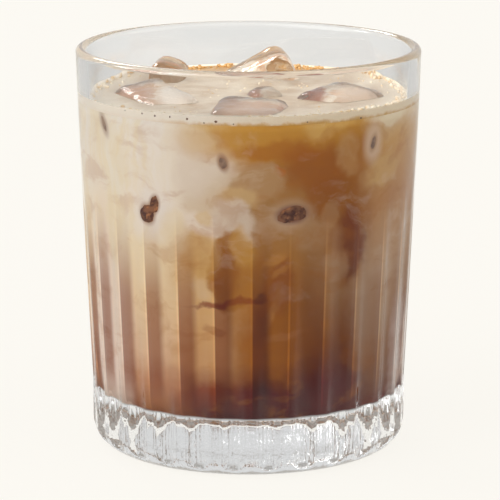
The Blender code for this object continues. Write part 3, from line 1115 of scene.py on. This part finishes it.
def drink_material():
    """Marbled coffee and milk, wet against the fluted wall, with the flutes' light and shade painted in."""
    material, tree, shader = new_material("marbled_coffee")
    place = object_mm(tree)
    height = axes(tree, place)["Z"]
    degrees, flat = round_the_drink(tree, place)
    behind = smooth_range(tree, calc(tree, "ABSOLUTE", degrees), 75.0, 120.0)
    warped = swirled(tree, place, flat)
    warped_split = axes(tree, warped)
    warped_height = warped_split["Y"]
    warped_degrees = calc(tree, "MULTIPLY", warped_split["X"], 180 / math.pi / MAP_RADIUS_MM)

    colour = layers(tree, warped, warped_height, warped_degrees, behind)
    colour = with_patches(tree, colour, warped, PATCHES)
    colour = with_wisps(tree, colour, warped, warped_height)
    colour = with_strands(tree, colour, warped, warped_height, warped_degrees)
    # painted shade and milky rings round the sunk ice
    colour = with_patches(tree, colour, flat, SUNK_SHADES)
    # the flutes' painted light and shade
    colour = with_painted_flute_light(tree, colour, degrees, height)
    colour = pale_foot(tree, colour, height, behind)

    inside = smooth_range(tree, distance_from_axis(tree, place), *INSIDE_RADIUS_MM, 1.0, 0.0)
    in_hollow = calc(tree, "MULTIPLY", inside, smooth_range(tree, height, *HOLLOW_HEIGHT_MM))
    colour = mix_colour(tree, in_hollow, colour, hollow_colour(tree, place))
    set_inputs(tree, shader, {"Base Color": colour, "Roughness": 0.5, "Specular IOR Level": 0.0})
    return material


# ---------------- froth materials


def froth_top_colour(tree, place, radius):
    """Cream, paler near the wall and amber at the back."""
    patches = smooth_range(tree, noise_value(tree, place, scale=0.14, detail=3.0), 0.35, 0.65)
    colour = mix_colour(tree, patches, srgb(202, 185, 162), srgb(182, 157, 130))
    near_wall = smooth_range(tree, radius, 29.0, 37.0, 0.0, 0.8)
    colour = mix_colour(tree, near_wall, colour, srgb(220, 204, 180))
    back = smooth_range(tree, axes(tree, place)["Y"], 20.0, 34.0, 0.0, 0.9)
    return mix_colour(tree, back, colour, srgb(178, 136, 82))


def froth_side_colour(tree, place):
    """The cream band that shows through the wall, amber along its lower edge."""
    split = axes(tree, place)
    to_right = smooth_range(tree, split["X"], -14.0, 14.0)
    cream = mix_colour(tree, to_right, pigment((236, 216, 186), -20), pigment((232, 200, 154), 20))
    uneven = noise_value(tree, place, scale=0.35, detail=3.0, roughness=0.6)
    shifted = calc(tree, "SUBTRACT", split["Z"], FROTH_EDGE_MM / 2)
    height = calc(tree, "MULTIPLY_ADD", uneven, FROTH_EDGE_MM, shifted)
    fade_from = (DRINK_LEVEL - FROTH_THICKNESS * 0.3) / MM
    lower_edge = smooth_range(tree, height, fade_from, (DRINK_LEVEL - FROTH_THICKNESS) / MM)
    amber = calc(tree, "MULTIPLY", lower_edge, smooth_range(tree, split["X"], -26.0, -4.0, 0.1, 1.0))
    return mix_colour(tree, amber, cream, pigment((196, 140, 74), 0))


def froth_material():
    material, tree, shader = new_material("coffee_froth")
    place = object_mm(tree)
    radius = distance_from_axis(tree, place)
    top = froth_top_colour(tree, place, radius)
    side = froth_side_colour(tree, place)
    cells = add_node(tree, "ShaderNodeTexVoronoi", {"Vector": place, "Scale": 1.6}).outputs["Distance"]
    looks = {
        "Base Color": mix_colour(tree, smooth_range(tree, radius, 38.0, 38.6), top, side),
        "Roughness": 0.35,
        "Specular IOR Level": 0.3,
        "Normal": bump(tree, cells, strength=0.3, distance=0.0002),
    }
    set_inputs(tree, shader, looks)
    return material


def bubble_material():
    """Pale bubbles, amber towards the back."""
    material, tree, shader = new_material("froth_bubble")
    place = object_mm(tree)
    patches = smooth_range(tree, noise_value(tree, place, scale=0.4, detail=2.0), 0.35, 0.65)
    colour = mix_colour(tree, patches, srgb(244, 230, 206), srgb(222, 190, 146))
    back = smooth_range(tree, axes(tree, place)["Y"], 12.0, 30.0)
    colour = mix_colour(tree, back, colour, srgb(206, 160, 98))
    set_inputs(tree, shader, {"Base Color": colour, "Roughness": 0.12})
    return material


def pinhole_material():
    material, tree, shader = new_material("burst_bubble")
    patches = smooth_range(tree, noise_value(tree, object_mm(tree), scale=0.8, detail=2.0), 0.35, 0.65)
    colour = mix_colour(tree, patches, srgb(92, 62, 44), srgb(124, 88, 62))
    set_inputs(tree, shader, {"Base Color": colour, "Roughness": 0.6})
    return material


# ---------------- studio


def make_camera():
    data = bpy.data.cameras.new("camera")
    data.sensor_width = SENSOR_MM
    data.lens = FOCAL_PIXELS / PICTURE_PIXELS * SENSOR_MM
    data.shift_x = SHIFT_PIXELS / PICTURE_PIXELS
    camera = bpy.data.objects.new("camera", data)
    bpy.context.scene.collection.objects.link(camera)
    camera.location = CAMERA_PLACE
    camera.rotation_euler = (math.radians(90 - CAMERA_PITCH), 0.0, 0.0)
    bpy.context.scene.camera = camera


def make_world():
    """Even studio light with a few softboxes."""
    world = bpy.data.worlds.new("studio")
    bpy.context.scene.world = world
    world.use_nodes = True
    tree = world.node_tree
    direction = add_node(tree, "ShaderNodeTexCoord", {}).outputs["Generated"]
    direction = vector_calc(tree, "NORMALIZE", direction).outputs[0]
    light = WORLD_LIGHT
    for box in SOFTBOXES:
        towards = tuple(Vector(box.towards).normalized())
        facing = vector_calc(tree, "DOT_PRODUCT", direction, towards).outputs["Value"]
        glow = smooth_range(tree, facing, math.cos(math.radians(box.width)), 1.0, 0.0, box.strength)
        light = calc(tree, "ADD", glow, light)
    set_inputs(tree, tree.nodes["Background"], {"Strength": light, "Color": as_colour(WORLD_COLOUR)})


def floor_material():
    """A pale floor that glows instead of being lit, so that almost no shadow shows on it; the glow is dimmer
    outside the picture.
    """
    material, tree, shader = new_material("pale_floor")
    split = axes(tree, object_mm(tree))
    outwards = calc(tree, "ABSOLUTE", split["X"])
    outwards = calc(tree, "SUBTRACT", outwards, calc(tree, "MULTIPLY", split["Y"], FLOOR_TAPER))
    in_front = smooth_range(tree, split["Y"], *FLOOR_FRONT_MM, 1.0, 0.0)
    glow_share = calc(tree, "MULTIPLY", in_front, smooth_range(tree, outwards, *FLOOR_SIDE_MM, 1.0, 0.5))
    looks = {
        "Base Color": as_colour(FLOOR_GREY),
        "Emission Color": as_colour(srgb(251, 248, 241)),
        "Emission Strength": calc(tree, "MULTIPLY_ADD", glow_share, FLOOR_GLOW - FLOOR_DIM_GLOW, FLOOR_DIM_GLOW),
        "Roughness": 1.0,
        "Specular IOR Level": 0.0,
    }
    set_inputs(tree, shader, looks)
    return material


def make_floor():
    body = bmesh.new()
    bmesh.ops.create_grid(body, x_segments=FLOOR_SQUARES, y_segments=FLOOR_SQUARES, size=FLOOR_HALF_SIZE)
    floor = add_object("floor", to_mesh(body, "floor"), floor_material())


def let_light_through():
    """Light runs round in the glass wall many times before it comes out."""
    cycles = bpy.context.scene.cycles
    cycles.max_bounces = WALL_BOUNCES
    cycles.transmission_bounces = WALL_BOUNCES
    cycles.glossy_bounces = WALL_BOUNCES


# ---------------- assembly


def main():
    bpy.context.scene.view_settings.view_transform = "Standard"
    let_light_through()
    make_camera()
    make_world()
    make_floor()

    tumbler = make_tumbler(glass_material())
    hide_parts("tumbler")

    drink = make_drink_body(drink_material())
    froth = make_froth(froth_material())
    cutters = [pocket_cutter(name) for name in ICE_NAMES]
    cut_pockets(drink, cutters)
    cut_pockets(froth, cutters)
    for cutter in cutters:
        bpy.data.objects.remove(cutter)
    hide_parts("dark_coffee", "milky_coffee")
    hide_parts("froth")
    pieces = [tumbler, drink, froth]

    clear_ice = ice_material("clear_ice", 1.0, CLEAR_ICE_COLOUR)
    milky_ice = ice_material("milky_ice", MILKY_ICE_CLEARNESS, MILKY_ICE_COLOUR)
    for seed, name in enumerate(ICE_NAMES):
        ice = make_ice(name, clear_ice if name in CLEAR_ICE else milky_ice, seed)
        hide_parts(name)
        pieces.append(ice)
    # the sunk ice's dark is painted shade, and its glints are painted highlights
    bare = sunk_ice_material("ice_in_coffee", srgb(84, 50, 42), srgb(142, 94, 66), srgb(190, 126, 78))
    veiled = sunk_ice_material("ice_in_milk", srgb(132, 104, 90), srgb(164, 134, 112), srgb(182, 146, 116))
    pieces += make_sunk_ice(bare, veiled)
    pieces.append(make_bubbles(bubble_material()))
    pieces.append(make_pinholes(pinhole_material()))

    for piece in pieces:
        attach(piece, "root")


main()
